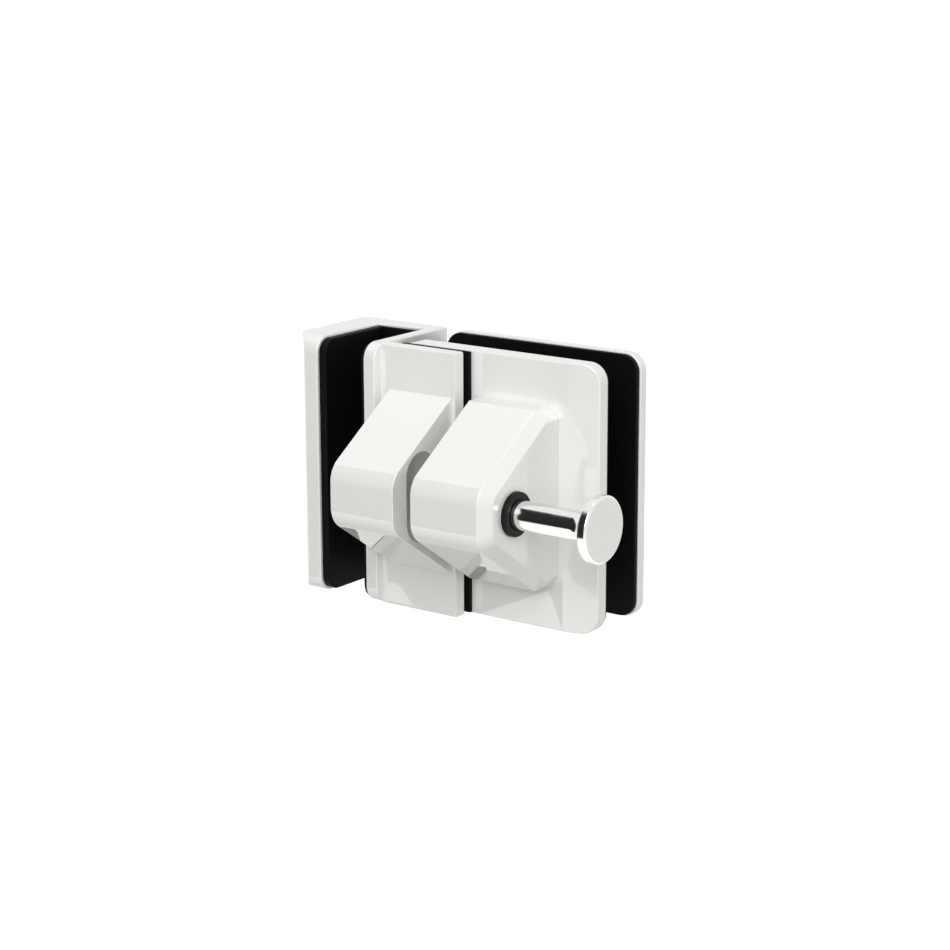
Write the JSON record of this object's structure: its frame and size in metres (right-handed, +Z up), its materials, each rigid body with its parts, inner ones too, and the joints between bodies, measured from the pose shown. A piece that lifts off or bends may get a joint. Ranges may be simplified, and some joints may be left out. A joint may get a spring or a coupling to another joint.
{
  "type": "glass gate latch",
  "caption": "Latch for a glass gate that meets a fixed panel edge-on: a glass channel with a strike housing, and a clamp plate pair with a sprung bolt drawn by a knob.",
  "frame": {"origin": "centre of the seat in the channel where the fixed panel's edge rests", "axes": "+X along the closed gate towards the knob, +Y from the knob side to the back plate, +Z up"},
  "size_m": [0.1222, 0.0667, 0.08],
  "materials": {
    "white_coat": "smooth glossy white powder coat",
    "black_rubber": "matt black sheet rubber",
    "black_plastic": "matt black moulded plastic",
    "polished_steel": "turned and finely polished stainless steel",
    "bare_steel": "plain stainless steel"
  },
  "bodies": {
    "fixed_half": {"channel_body": "white_coat", "strike_housing": "white_coat", "channel_pad_web": "black_rubber", "channel_pad_inner": "black_rubber", "strike_screw_1": "bare_steel", "strike_screw_2": "bare_steel", "strike_screw_3": "bare_steel", "strike_screw_4": "bare_steel"},
    "fixed_clamp": {"press_plate": "bare_steel", "channel_pad_outer": "black_rubber", "set_screw_1": "bare_steel", "set_screw_2": "bare_steel"},
    "gate_half": {"front_plate": "white_coat", "front_gasket": "black_rubber", "latch_housing": "white_coat", "stop_pad": "black_rubber", "pin_bush": "black_plastic", "nose_bush": "black_plastic", "bolt_spring": "bare_steel", "glass_sleeve_1": "black_plastic", "glass_sleeve_2": "black_plastic", "housing_screw_1": "bare_steel", "housing_screw_2": "bare_steel", "housing_screw_3": "bare_steel", "housing_screw_4": "bare_steel"},
    "bolt": {"latch_bolt": "polished_steel", "pull_pin": "polished_steel", "knob": "polished_steel", "cross_pin": "bare_steel"},
    "back_clamp": {"back_plate": "white_coat", "back_gasket": "black_rubber", "clamp_screw_1": "polished_steel", "clamp_screw_2": "polished_steel", "clamp_washer_1": "polished_steel", "clamp_washer_2": "polished_steel"}
  },
  "joints": [
    {"name": "outer_pad_push", "type": "slide", "parent": "fixed_half", "child": "fixed_clamp", "axis": [1, 0, 0], "range_m": [0, 0.0016]},
    {"name": "gate_play", "type": "slide", "parent": "fixed_half", "child": "gate_half", "axis": [0, 1, 0], "range_m": [0, 0.0024]},
    {"name": "bolt_draw", "type": "slide", "parent": "gate_half", "child": "bolt", "axis": [1, 0, 0], "range_m": [0, 0.0125], "stiffness_N_per_m": 600, "springref_m": -0.012, "deforming": ["bolt_spring"]},
    {"name": "glass_clamp", "type": "slide", "parent": "gate_half", "child": "back_clamp", "axis": [0, -1, 0], "range_m": [0, 0.0026]}
  ]
}
